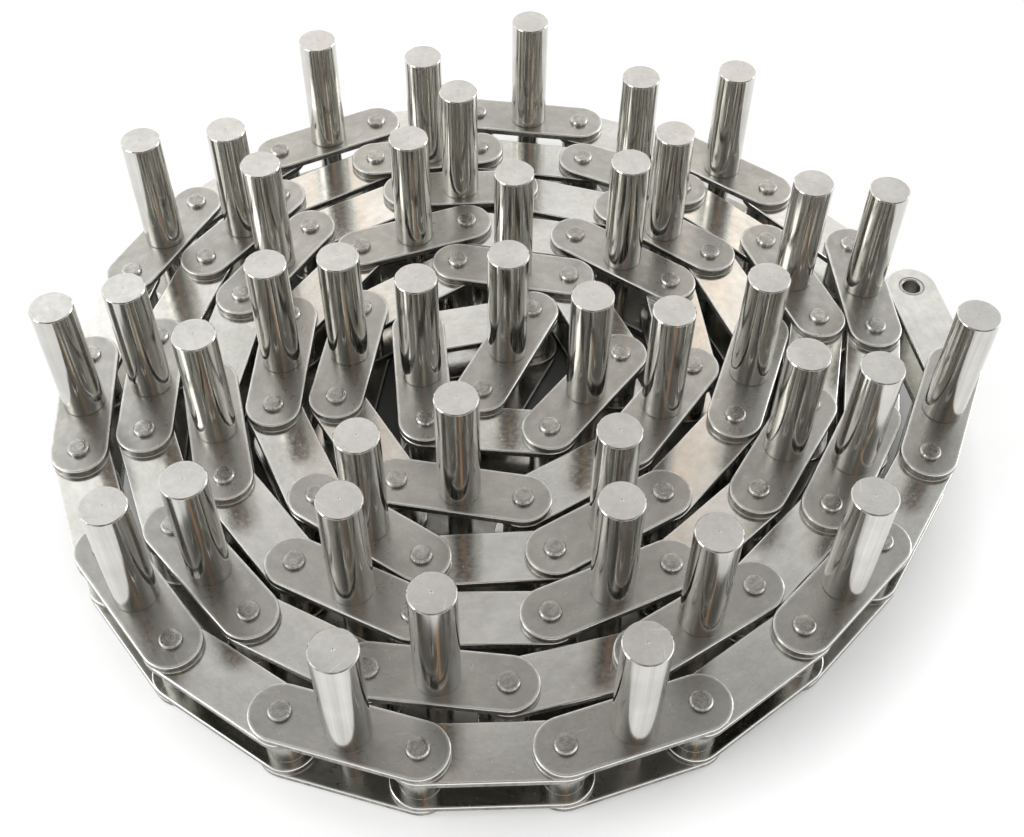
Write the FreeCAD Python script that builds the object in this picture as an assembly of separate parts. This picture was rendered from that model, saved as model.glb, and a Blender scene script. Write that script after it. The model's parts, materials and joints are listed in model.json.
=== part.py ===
import FreeCAD, Part
import math
import os

# Attachment roller chain: a double-pitch conveyor chain with a plain round stud standing up from the
# middle of every outer link, wound flat into a coil. The pins are upright and the studs point up.
# Units are millimetres, +Z is up, and the coil stands on z = 0 with its box centred on the Z axis.

# Chain, along its length
PITCH = 38.1
LINKS = 80
LOOSE_LINKS = 11

# Plates, seen from the side of the chain
PLATE_HEIGHT = 17.2
OUTER_PLATE_THICKNESS = 2.42
INNER_PLATE_THICKNESS = 2.42
PLATE_RIM_RADIUS = 0.45

# Width between the inner plates, and the running gaps beside it
INNER_WIDTH = 12.57
SIDE_GAP = 0.1
ROLLER_END_GAP = 0.12

# Pins, riveted over both outer plates
PIN_DIAMETER = 5.94
RIVET_HEIGHT = 1.45
RIVET_SPREAD = 0.2
RIVET_EDGE = 0.42

# Bushes pressed into the inner plates, and the rollers that turn on them
PIN_CLEARANCE = 0.04
BUSH_WALL = 1.17
BUSH_LEAD_IN = 0.35
BUSH_EDGE = 0.25
ROLLER_CLEARANCE = 0.05
ROLLER_DIAMETER = 11.91
ROLLER_EDGE = 0.4

# Studs: a thick bright post on a thinner shank, which is riveted through both outer plates
STUD_DIAMETER = 12.7
STUD_HEIGHT = 42.0
STUD_TOP_CHAMFER = 0.3
STUD_FOOT_CHAMFER = 0.25
STUD_SHANK_DIAMETER = 7.94
STUD_CENTRE_DIAMETER = 0.8
STUD_CENTRE_DEPTH = 0.25

# The coil: a spiral that is a little out of round, wound clockwise from the free end inward.
# The curl in the eye has its centre line within this room from the coil's middle.
EYE_ROOM = 26.8
EYE_ANGLE = 57.0
TURN_GAP = 2.54
LEAST_TURN_GAP = 0.3
# each wave goes round the coil this many times, swells it by this share of the eye and peaks at this phase
OUT_OF_ROUND = ((2, 0.0625, 68.0), (3, 0.0605, 49.0), (4, 0.016, 95.0))
# where the chain leaves the spiral inward, each joint bends as on a circle that is this share of the eye
EYE_CURLS = (0.923, 0.848, 0.907, 0.677, 0.652, 0.482)
# how far each joint bends, in degrees, where the free end leaves the spiral
FREE_END_BENDS = (21.0, 9.5, 11.5, 9.0, 33.0)

PUSH_STEP = math.radians(0.25)
HALVINGS = 40
UP = FreeCAD.Vector(0, 0, 1)

pin_radius = PIN_DIAMETER / 2
bush_bore_radius = pin_radius + PIN_CLEARANCE
bush_radius = bush_bore_radius + BUSH_WALL
roller_bore_radius = bush_radius + ROLLER_CLEARANCE
roller_radius = ROLLER_DIAMETER / 2
shank_radius = STUD_SHANK_DIAMETER / 2
stud_radius = STUD_DIAMETER / 2
eye_radius = EYE_ROOM + PLATE_HEIGHT

# levels, from the ground up
lower_outer_z = RIVET_HEIGHT
lower_inner_z = lower_outer_z + OUTER_PLATE_THICKNESS + SIDE_GAP
width_z = lower_inner_z + INNER_PLATE_THICKNESS
upper_inner_z = width_z + INNER_WIDTH
upper_outer_z = upper_inner_z + INNER_PLATE_THICKNESS + SIDE_GAP
plate_top_z = upper_outer_z + OUTER_PLATE_THICKNESS
pin_top_z = plate_top_z + RIVET_HEIGHT
stud_top_z = plate_top_z + STUD_HEIGHT


def spiral_radius(turned):
    """Distance from the spiral's centre after this turn outward, in radians, from the eye."""
    angle = math.radians(EYE_ANGLE) + turned
    radius = eye_radius + (PLATE_HEIGHT + TURN_GAP) * turned / (2 * math.pi)
    for waves, swell, phase in OUT_OF_ROUND:
        radius += swell * eye_radius * math.cos(waves * angle - math.radians(phase))
    return radius


def on_spiral(turned):
    angle = math.radians(EYE_ANGLE) + turned
    radius = spiral_radius(turned)
    return (radius * math.cos(angle), radius * math.sin(angle))


def heading(start, end):
    return math.atan2(end[1] - start[1], end[0] - start[0])


def one_pitch_on(start, angle):
    return (start[0] + PITCH * math.cos(angle), start[1] + PITCH * math.sin(angle))


def next_turned(joint, turned):
    """The turn at which the spiral is one pitch further out than this joint, found by halving."""
    step = 0.1 * PITCH / spiral_radius(turned)
    high = turned + step
    while math.dist(on_spiral(high), joint) < PITCH:
        high += step
    low = high - step
    for _ in range(HALVINGS):
        middle = (low + high) / 2
        if math.dist(on_spiral(middle), joint) < PITCH:
            low = middle
        else:
            high = middle
    return high


def point_to_link(point, link):
    (ax, ay), (bx, by) = link
    along = ((point[0] - ax) * (bx - ax) + (point[1] - ay) * (by - ay)) / PITCH**2
    along = min(max(along, 0.0), 1.0)
    return math.dist(point, (ax + along * (bx - ax), ay + along * (by - ay)))


def link_to_link(one, other):
    """Least distance between the centre lines of two links that don't cross."""
    ends = [(end, other) for end in one] + [(end, one) for end in other]
    return min(point_to_link(end, link) for end, link in ends)


def pushed_clear(joint, angle, index, joints):
    """The next joint outward, with link index turned outward until its plates clear the turn inside.

    Outer plates and inner plates lie at different levels, so only links of its own kind are in its way.
    The next link is of the other kind and starts at the new joint, so that joint clears those links too.
    """
    room = PLATE_HEIGHT + LEAST_TURN_GAP
    own_kind = [(joints[i], joints[i + 1]) for i in range(index + 2, LINKS, 2)]
    other_kind = [(joints[i], joints[i + 1]) for i in range(index + 1, LINKS, 2)]
    for _ in range(round(math.pi / PUSH_STEP)):
        end = one_pitch_on(joint, angle)
        clear = all(link_to_link((joint, end), link) >= room for link in own_kind)
        if clear and all(point_to_link(end, link) >= room for link in other_kind):
            break
        angle -= PUSH_STEP
    return end


def bent_on(joints, index, bend):
    """The next joint outward, with the chain bent by this angle, or by less if a link is in its way."""
    angle = heading(joints[index + 2], joints[index + 1]) + bend
    return pushed_clear(joints[index + 1], angle, index, joints)


def curl_bend(share):
    """The bend between two links that are chords of a circle of this share of the eye's radius."""
    return 2 * math.asin(min(PITCH / 2 / (share * eye_radius), 1.0))


def turned_onto(points, start, place, angle):
    """Points turned by this angle about the point start, which is put in its new place."""
    cosine, sine = math.cos(angle), math.sin(angle)
    away = [(x - start[0], y - start[1]) for x, y in points]
    return [(place[0] + x * cosine - y * sine, place[1] + x * sine + y * cosine) for x, y in away]


def lay_chain():
    """Places of all the joints, joint 0 at the free end and the last one in the eye of the coil.

    The curl in the eye is laid first, from its inner end outward, and put where the spiral starts.
    """
    joints = [None] * (LINKS - 1) + [(PITCH, 0.0), (0.0, 0.0)]
    eye = LINKS - len(EYE_CURLS)
    for i, share in zip(range(LINKS - 2, eye - 1, -1), EYE_CURLS[:0:-1]):
        joints[i] = bent_on(joints, i, curl_bend(share))
    start = on_spiral(0.0)
    outward = heading(start, on_spiral(next_turned(start, 0.0)))
    turn = outward - curl_bend(EYE_CURLS[0]) - heading(joints[eye + 1], joints[eye])
    joints[eye:] = turned_onto(joints[eye:], joints[eye], start, turn)
    turned = 0.0
    for i in range(eye - 1, len(FREE_END_BENDS) - 1, -1):
        turned = next_turned(joints[i + 1], turned)
        angle = heading(joints[i + 1], on_spiral(turned))
        joints[i] = pushed_clear(joints[i + 1], angle, i, joints)
    for i, bend in zip(range(len(FREE_END_BENDS) - 1, -1, -1), FREE_END_BENDS):
        joints[i] = bent_on(joints, i, math.radians(bend))
    middle = [(min(axis) + max(axis)) / 2 for axis in zip(*joints)]
    return [(x - middle[0], y - middle[1]) for x, y in joints]


def turned_solid(profile):
    """A solid of revolution about Z from a closed list of (radius, height) points."""
    points = [FreeCAD.Vector(radius, 0, z) for radius, z in profile]
    outline = Part.makePolygon(points + points[:1])
    return Part.Face(outline).revolve(FreeCAD.Vector(0, 0, 0), UP, 360)


def make_plate(thickness, end_hole_radius, middle_hole_radius=None):
    """A straight-sided plate with round ends, along X about its middle, its lower face on z = 0."""
    half, edge = PITCH / 2, PLATE_HEIGHT / 2
    corners = [FreeCAD.Vector(x * half, y * edge, 0) for x, y in ((-1, -1), (1, -1), (1, 1), (-1, 1))]
    right = Part.Arc(corners[1], FreeCAD.Vector(half + edge, 0, 0), corners[2]).toShape()
    left = Part.Arc(corners[3], FreeCAD.Vector(-half - edge, 0, 0), corners[0]).toShape()
    front = Part.LineSegment(corners[0], corners[1]).toShape()
    back = Part.LineSegment(corners[2], corners[3]).toShape()
    plate = Part.Face(Part.Wire([front, right, back, left])).extrude(UP * thickness)
    rims = [edge for edge in plate.Edges if edge.BoundBox.ZLength < thickness / 2]
    plate = plate.makeFillet(PLATE_RIM_RADIUS, rims)
    holes = [(-half, end_hole_radius), (half, end_hole_radius)]
    if middle_hole_radius:
        holes.append((0, middle_hole_radius))
    for x, radius in holes:
        plate = plate.cut(Part.makeCylinder(radius, thickness, FreeCAD.Vector(x, 0, 0)))
    return plate


def rivet_points(radius, plate_z, tip_z):
    """Outline of a spread rivet head between a plate's face and its flat tip, from the plate outward."""
    out = 1 if tip_z > plate_z else -1
    rim = radius + RIVET_SPREAD
    return [
        (radius, plate_z),
        (rim, plate_z),
        (rim, tip_z - out * RIVET_EDGE),
        (rim - RIVET_EDGE, tip_z),
    ]


def make_pin():
    foot = rivet_points(pin_radius, lower_outer_z, 0)
    head = rivet_points(pin_radius, plate_top_z, pin_top_z)
    return turned_solid([(0, 0)] + foot[::-1] + head + [(0, pin_top_z)])


def make_stud():
    """The post stands on the upper outer plate. Its shank fills both plates' holes and is riveted below."""
    foot = rivet_points(shank_radius, lower_outer_z, 0)
    post = [
        (shank_radius, plate_top_z),
        (stud_radius - STUD_FOOT_CHAMFER, plate_top_z),
        (stud_radius, plate_top_z + STUD_FOOT_CHAMFER),
        (stud_radius, stud_top_z - STUD_TOP_CHAMFER),
        (stud_radius - STUD_TOP_CHAMFER, stud_top_z),
        (STUD_CENTRE_DIAMETER / 2, stud_top_z),
        (0, stud_top_z - STUD_CENTRE_DEPTH),
    ]
    return turned_solid([(0, 0)] + foot[::-1] + post)


def make_bush():
    """A tube as long as the inner link is wide, with bevelled ends outside and inside its bore."""
    low, high = lower_inner_z, upper_inner_z + INNER_PLATE_THICKNESS
    return turned_solid([
        (bush_bore_radius + BUSH_LEAD_IN, low),
        (bush_radius - BUSH_EDGE, low),
        (bush_radius, low + BUSH_EDGE),
        (bush_radius, high - BUSH_EDGE),
        (bush_radius - BUSH_EDGE, high),
        (bush_bore_radius + BUSH_LEAD_IN, high),
        (bush_bore_radius, high - BUSH_LEAD_IN),
        (bush_bore_radius, low + BUSH_LEAD_IN),
    ])


def make_roller():
    low, high = width_z + ROLLER_END_GAP, upper_inner_z - ROLLER_END_GAP
    return turned_solid([
        (roller_bore_radius, low),
        (roller_radius - ROLLER_EDGE, low),
        (roller_radius, low + ROLLER_EDGE),
        (roller_radius, high - ROLLER_EDGE),
        (roller_radius - ROLLER_EDGE, high),
        (roller_bore_radius, high),
    ])


def placed(shape, x, y, z=0.0, angle=0.0):
    copy = shape.copy()
    copy.Placement = FreeCAD.Placement(
        FreeCAD.Vector(x, y, z), FreeCAD.Rotation(UP, math.degrees(angle))
    )
    return copy


def make_link(index, joints, shapes):
    """One link's pieces by name. Links with an even index are inner links, the others outer ones."""
    start, end = joints[index], joints[index + 1]
    x, y = (start[0] + end[0]) / 2, (start[1] + end[1]) / 2
    angle = heading(start, end)
    if index % 2:
        return {
            "upper_plate": [placed(shapes["outer_plate"], x, y, upper_outer_z, angle)],
            "lower_plate": [placed(shapes["outer_plate"], x, y, lower_outer_z, angle)],
            "pins": [placed(shapes["pin"], *joint) for joint in (start, end)],
            "stud": [placed(shapes["stud"], x, y)],
        }
    return {
        "upper_plate": [placed(shapes["inner_plate"], x, y, upper_inner_z, angle)],
        "lower_plate": [placed(shapes["inner_plate"], x, y, lower_inner_z, angle)],
        "bushes": [placed(shapes["bush"], *joint) for joint in (start, end)],
        "first_roller": [placed(shapes["roller"], *start)],
        "second_roller": [placed(shapes["roller"], *end)],
    }


def coil_node(index, piece):
    """The coil's node that holds this piece of a link: all plates of one row, or all pieces of one kind."""
    kind = "outer" if index % 2 else "inner"
    if piece.endswith("plate"):
        return f"coil_{kind}_{piece}s"
    return {"stud": "coil_studs", "pins": "coil_pins", "bushes": "coil_bushes"}.get(piece, "coil_rollers")


def make_chain():
    """All nodes. The loose links at the free end have nodes of their own, and the rest share the coil's."""
    shapes = {
        "outer_plate": make_plate(OUTER_PLATE_THICKNESS, pin_radius, shank_radius),
        "inner_plate": make_plate(INNER_PLATE_THICKNESS, bush_radius),
        "pin": make_pin(),
        "stud": make_stud(),
        "bush": make_bush(),
        "roller": make_roller(),
    }
    joints = lay_chain()
    nodes = {}
    for index in range(LINKS):
        for piece, solids in make_link(index, joints, shapes).items():
            loose = index < LOOSE_LINKS
            node = f"link_{index + 1:02d}_{piece}" if loose else coil_node(index, piece)
            nodes.setdefault(node, []).extend(solids)
    return nodes


os.makedirs("parts", exist_ok=True)
for name, solids in make_chain().items():
    shape = solids[0] if len(solids) == 1 else Part.makeCompound(solids)
    shape.exportStep(f"parts/{name}.step")
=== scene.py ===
"""Finished surfaces, studio and camera of the coiled attachment roller chain.

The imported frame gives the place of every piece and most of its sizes. Each node is split into its
separate solids, and each solid is made again as a finished surface worked out with numpy, in the
place where the frame has it. Lengths are metres, +Z is up, and every piece rides on its own body.
"""

import json
import logging
import math
from dataclasses import dataclass
from enum import Enum
from typing import NamedTuple, Sequence

import bpy
import numpy as np
from mathutils import Matrix, Vector


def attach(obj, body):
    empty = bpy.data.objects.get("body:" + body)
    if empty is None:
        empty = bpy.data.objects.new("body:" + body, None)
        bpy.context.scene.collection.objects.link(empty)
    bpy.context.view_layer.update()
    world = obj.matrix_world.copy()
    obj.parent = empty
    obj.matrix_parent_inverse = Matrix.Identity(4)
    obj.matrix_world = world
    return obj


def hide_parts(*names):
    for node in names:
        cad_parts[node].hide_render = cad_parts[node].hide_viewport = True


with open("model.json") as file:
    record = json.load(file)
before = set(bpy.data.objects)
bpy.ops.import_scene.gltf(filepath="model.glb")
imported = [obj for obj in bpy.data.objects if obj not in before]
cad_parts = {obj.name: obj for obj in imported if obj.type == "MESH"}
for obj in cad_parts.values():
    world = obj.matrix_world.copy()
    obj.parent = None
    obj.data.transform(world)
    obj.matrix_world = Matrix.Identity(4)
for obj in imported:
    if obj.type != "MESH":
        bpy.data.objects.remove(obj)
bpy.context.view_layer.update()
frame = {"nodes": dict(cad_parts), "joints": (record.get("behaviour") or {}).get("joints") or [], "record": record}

log = logging.getLogger("roller_chain")

MM = 0.001

Socket = bpy.types.NodeSocket
Tree = bpy.types.NodeTree
Groups = dict[str, Tree]
Colour = tuple[float, float, float]

# Most values of a noise lie in this range
NOISE_RANGE = (0.3, 0.7)
# What a copy's X, Y and their sine are multiplied by to give it a number of its own
SEED_STEPS = (12989.8, 78233.0, 437.585)


class Level(NamedTuple):
    """Lowest and highest height of a kind of piece."""

    low: float
    high: float


class Fade(NamedTuple):
    """A value that goes evenly from one level to another between two places."""

    start: float
    end: float
    before: float = 0.0
    after: float = 1.0


class Corner(NamedTuple):
    """A corner of a turned outline, with the finish of the surface that starts there."""

    radius: float
    height: float
    fillet: float = 0.0
    finish: int = 0


@dataclass(frozen=True)
class Patch:
    """A grid of points with its outward normals and the number of its finish."""

    points: np.ndarray
    normals: np.ndarray
    finish: int = 0


@dataclass(frozen=True)
class Surface:
    """A closed surface: shared points, and faces of three or four corners.

    A face has four corners in its row, and its mask says which of them it keeps. Each corner has a
    normal, and each face the number of its finish.
    """

    points: np.ndarray
    corners: np.ndarray
    kept: np.ndarray
    normals: np.ndarray
    finish: np.ndarray


@dataclass(frozen=True)
class Solids:
    """The separate solids of one frame node, one row each."""

    low: np.ndarray
    high: np.ndarray
    slope: np.ndarray

    @property
    def middle(self) -> np.ndarray:
        """Middle of each solid's box, seen from above."""
        return (self.low[:, :2] + self.high[:, :2]) / 2

    @property
    def width(self) -> np.ndarray:
        """Size of each solid's box along X and Y."""
        return (self.high - self.low)[:, :2]


def merged(places: np.ndarray, grid: float) -> tuple[np.ndarray, np.ndarray]:
    """Finds the points that share a place: those that round to the same multiple of a small length.

    Args:
        places: The points, one row each.
        grid: The small length.

    Returns:
        The index of the first point in each place, and the number of each point's place.
    """
    keys = np.round(places / grid).astype(np.int64)
    _, first, same = np.unique(keys, axis=0, return_index=True, return_inverse=True)
    return first, same.reshape(-1)


def solids_of(node: str) -> Solids:
    """Splits a node's loose triangles into its separate solids.

    Corners at the same place are one point, and each point takes the lowest number among the points
    that its triangles join it to, over and over, until every solid has a single number.

    Args:
        node: Name of the frame's node.

    Returns:
        The box of each solid, and the side that it leans to when seen from above.
    """
    weld_grid = 1e-6
    mesh = frame["nodes"][node].data
    places = np.empty(len(mesh.vertices) * 3, np.float32)
    mesh.vertices.foreach_get("co", places)
    places = places.reshape(-1, 3).astype(float)
    corners = np.empty(len(mesh.loops), np.int32)
    mesh.loops.foreach_get("vertex_index", corners)
    first, same = merged(places, weld_grid)
    triangles = same[corners].reshape(-1, 3)
    number = np.arange(len(first))
    while True:
        lowest = number.copy()
        shared = number[triangles].min(axis=1)
        for side in range(3):
            np.minimum.at(lowest, triangles[:, side], shared)
        lowest = lowest[lowest]
        if np.array_equal(lowest, number):
            break
        number = lowest
    points = places[first]
    groups, group = np.unique(number, return_inverse=True)
    group = group.reshape(-1)
    low = np.full((len(groups), 3), np.inf)
    high = np.full((len(groups), 3), -np.inf)
    np.minimum.at(low, group, points)
    np.maximum.at(high, group, points)
    away = points - ((low + high) / 2)[group]
    slope = np.sign(np.bincount(group, weights=away[:, 0] * away[:, 1]))
    return Solids(low, high, slope)


def welded(patches: Sequence[Patch]) -> Surface:
    """Joins patches into one closed surface.

    Each patch gives a four-cornered face per grid cell, turned to agree with the patch's normals.
    Points at the same place become one, and a face that has two corners in one place becomes a
    triangle.

    Args:
        patches: The patches, whose edges meet.

    Returns:
        The joined surface.
    """
    weld_grid, fewest_corners = 1e-8, 3
    points, corners, normals, finishes = [], [], [], []
    count = 0
    for patch in patches:
        rows, columns = patch.points.shape[:2]
        index = np.arange(rows * columns).reshape(rows, columns)
        cell = np.stack([index[:-1, :-1], index[1:, :-1], index[1:, 1:], index[:-1, 1:]], axis=-1)
        cell = cell.reshape(-1, 4)
        place = patch.points.reshape(-1, 3)
        facing = patch.normals.reshape(-1, 3)
        across = np.cross(place[cell[:, 2]] - place[cell[:, 0]], place[cell[:, 3]] - place[cell[:, 1]])
        inward = np.einsum("ij,ij->i", across, facing[cell].sum(axis=1)) < 0
        cell[inward] = cell[inward][:, ::-1]
        points.append(place)
        normals.append(facing[cell])
        corners.append(cell + count)
        finishes.append(np.full(len(cell), patch.finish))
        count += len(place)
    points = np.concatenate(points)
    first, same = merged(points, weld_grid)
    corners = same[np.concatenate(corners)]
    kept = corners != np.roll(corners, -1, axis=1)
    real = kept.sum(axis=1) >= fewest_corners
    return Surface(
        points[first],
        corners[real],
        kept[real],
        np.concatenate(normals)[real],
        np.concatenate(finishes)[real],
    )


def lifted(flat: np.ndarray, height: object) -> np.ndarray:
    """Adds a third coordinate to flat points.

    Args:
        flat: A grid of points or directions with two coordinates.
        height: The third coordinate, as one number or as an array that fits the grid.

    Returns:
        The grid with three coordinates.
    """
    third = np.broadcast_to(height, flat.shape[:-1])
    return np.concatenate([flat, third[..., None]], axis=-1)


def turned(corners: Sequence[Corner], closed: bool, segments: int, rows: int = 2) -> Surface:
    """A surface of revolution about Z from an outline that runs anticlockwise in (radius, height).

    The outline's straight stretches each give a band between two circles. A corner with a fillet
    gives a band whose normal turns evenly from one stretch's to the next one's, at the fillet's
    radius from its centre.

    Args:
        corners: The outline's corners, from the axis and back to it, or all round a ring's section.
        closed: Whether the outline runs back from the last corner to the first, as a ring's does.
        segments: How many flats the circle has.
        rows: How many flats a fillet has.

    Returns:
        The turned surface.
    """
    place = np.array([(corner.radius, corner.height) for corner in corners])
    count = len(corners)
    ahead = np.roll(place, -1, axis=0) - place
    ahead /= np.linalg.norm(ahead, axis=1, keepdims=True)
    outward = np.stack([ahead[:, 1], -ahead[:, 0]], axis=1)
    starts, ends = place.copy(), np.roll(place, -1, axis=0)
    bands = []
    for i in range(0 if closed else 1, count if closed else count - 1):
        fillet = corners[i].fillet
        if not fillet:
            continue
        before, after = outward[i - 1], outward[i]
        turn = math.atan2(before[0] * after[1] - before[1] * after[0], float(before @ after))
        reach = fillet * abs(math.tan(turn / 2))
        centre = place[i] - ahead[i - 1] * reach - before * math.copysign(fillet, turn)
        share = turn * np.arange(rows + 1) / rows
        swing = np.stack([
            before[0] * np.cos(share) - before[1] * np.sin(share),
            before[0] * np.sin(share) + before[1] * np.cos(share),
        ], axis=1)
        bands.append((centre + swing * math.copysign(fillet, turn), swing, corners[i].finish))
        ends[i - 1] = place[i] - ahead[i - 1] * reach
        starts[i] = place[i] + ahead[i] * reach
    for i in range(count if closed else count - 1):
        band = np.stack([starts[i], ends[i]])
        bands.append((band, np.stack([outward[i]] * 2), corners[i].finish))
    around = 2 * math.pi * np.arange(segments + 1) / segments
    ring = np.stack([np.cos(around), np.sin(around)], axis=1)
    ring[-1] = ring[0]
    patches = []
    for band, facing, finish in bands:
        patches.append(Patch(
            lifted(band[:, None, :1] * ring, band[:, 1:]),
            lifted(facing[:, None, :1] * ring, facing[:, 1:]),
            finish,
        ))
    return welded(patches)


@dataclass(frozen=True)
class PlateForm:
    """A straight-sided plate with round ends, along X about its middle, with its lower face at z = 0.

    The outline follows a straight spine between the two end holes, at the plate's half height from
    it. Each face is cut into cells, one round each end hole and one in the middle, and a cell's
    points run from its hole's edge straight out to the cell's border.
    """

    half_pitch: float
    half_height: float
    thickness: float
    rim: float
    end_hole: float
    middle_hole: float = 0.0
    end_flats: int = 18
    border_points: int = 6
    rim_rows: int = 3
    face_finish: int = 0
    wall_finish: int = 1

    def outline(self) -> tuple[np.ndarray, np.ndarray]:
        """Walks round the outline, anticlockwise from the lower middle.

        Returns:
            The spine point and the outward direction of each station.
        """
        split = self.split()
        swing = np.linspace(-math.pi / 2, math.pi / 2, self.end_flats + 1)
        right = np.stack([np.cos(swing), np.sin(swing)], axis=1)
        lower_x = np.array([0.0, split / 2, split, (split + self.half_pitch) / 2])
        straight = len(lower_x)
        lower = np.stack([lower_x, np.zeros(straight)], axis=1)
        round_end = np.tile([self.half_pitch, 0.0], (len(swing), 1))
        spine = np.concatenate([lower, round_end, lower[::-1]])
        down, up = np.tile([0.0, -1.0], (straight, 1)), np.tile([0.0, 1.0], (straight, 1))
        away = np.concatenate([down, right, up])
        return np.concatenate([spine, -spine[1:]]), np.concatenate([away, -away[1:]])

    def split(self) -> float:
        """Distance from the plate's middle to the border between its middle cell and an end cell."""
        return self.half_pitch / 2

    def cell(self, border: np.ndarray, hole: tuple[float, float], radius: float) -> np.ndarray:
        """Points from a hole's edge straight out to a closed border.

        Args:
            border: The border's points.
            hole: Middle of the hole.
            radius: Radius of the hole.

        Returns:
            Two rows of points: the hole's edge and the border.
        """
        centre = np.array(hole)
        away = border - centre
        edge = centre + radius * away / np.linalg.norm(away, axis=1, keepdims=True)
        return np.stack([edge, border])

    def faces(self) -> list[tuple[np.ndarray, float]]:
        """Cuts one face into its cells.

        Returns:
            Each cell as a flat grid, with the radius of the hole that it surrounds, or 0 for none.
        """
        spine, away = self.outline()
        rim_line = spine + (self.half_height - self.rim) * away
        edge = self.half_height - self.rim
        split = self.split()
        between = np.linspace(edge, -edge, self.border_points + 1)[1:-1]
        # The stations from the split line round the right end and back to it
        middle_top, first = len(rim_line) // 2, 2
        right_arc = rim_line[first:middle_top - first + 1]
        left_border = np.stack([np.full(len(between), split), between], axis=1)
        right = np.concatenate([right_arc, left_border, right_arc[:1]])
        cells = [
            (self.cell(right, (self.half_pitch, 0.0), self.end_hole), self.end_hole),
            (self.cell(-right, (-self.half_pitch, 0.0), self.end_hole), self.end_hole),
        ]
        top = np.array([[split, edge], [split / 2, edge], [0.0, edge], [-split / 2, edge], [-split, edge]])
        if self.middle_hole:
            side = np.stack([np.full(len(between), -split), between], axis=1)
            half = np.concatenate([top, side])
            middle = np.concatenate([half, -half, half[:1]])
            cells.append((self.cell(middle, (0.0, 0.0), self.middle_hole), self.middle_hole))
        else:
            levels = np.linspace(edge, -edge, self.border_points + 1)
            grid = np.stack(np.broadcast_arrays(top[None, :, 0], levels[:, None]), axis=-1)
            cells.append((grid, 0.0))
        return cells

    def surface(self) -> Surface:
        """Makes the whole plate: faces, hole walls, rounded rims and the sheared wall between the rims.

        A rim is a quarter circle carried along the outline: its radius times the sine of the quarter's
        angle goes outward, and its radius times the cosine goes up or down.

        Returns:
            The plate's surface.
        """
        patches = []
        cells = self.faces()
        for height, up in ((self.thickness, 1.0), (0.0, -1.0)):
            for grid, _ in cells:
                points = lifted(grid, height)
                patches.append(Patch(points, np.zeros_like(points) + (0.0, 0.0, up), self.face_finish))
        for grid, radius in cells:
            if radius:
                away = grid[0] - grid[1]
                inward = away / np.linalg.norm(away, axis=1, keepdims=True)
                patches.append(self.wall(grid[0], inward, 0.0, self.thickness))
        spine, away = self.outline()
        quarter = np.linspace(0.0, math.pi / 2, self.rim_rows + 1)[:, None]
        outward, rise = np.sin(quarter), np.cos(quarter)
        reach = self.half_height - self.rim + self.rim * outward
        for level, up in ((self.thickness - self.rim, 1.0), (self.rim, -1.0)):
            patches.append(Patch(
                lifted(spine + reach[..., None] * away, level + up * self.rim * rise),
                lifted(outward[..., None] * away, up * rise),
                self.face_finish,
            ))
        outer = spine + self.half_height * away
        patches.append(self.wall(outer, away, self.rim, self.thickness - self.rim, self.wall_finish))
        return welded(patches)

    def wall(self, line: np.ndarray, facing: np.ndarray, low: float, high: float, finish: int = 0) -> Patch:
        """Raises an upright wall along a flat line.

        Args:
            line: The line's points.
            facing: The wall's direction at each point.
            low: Height of the wall's foot.
            high: Height of its top.
            finish: Number of its finish.

        Returns:
            The wall.
        """
        heights = np.array([[low], [high]])
        return Patch(lifted(np.stack([line, line]), heights), lifted(np.stack([facing, facing]), 0.0), finish)


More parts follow.
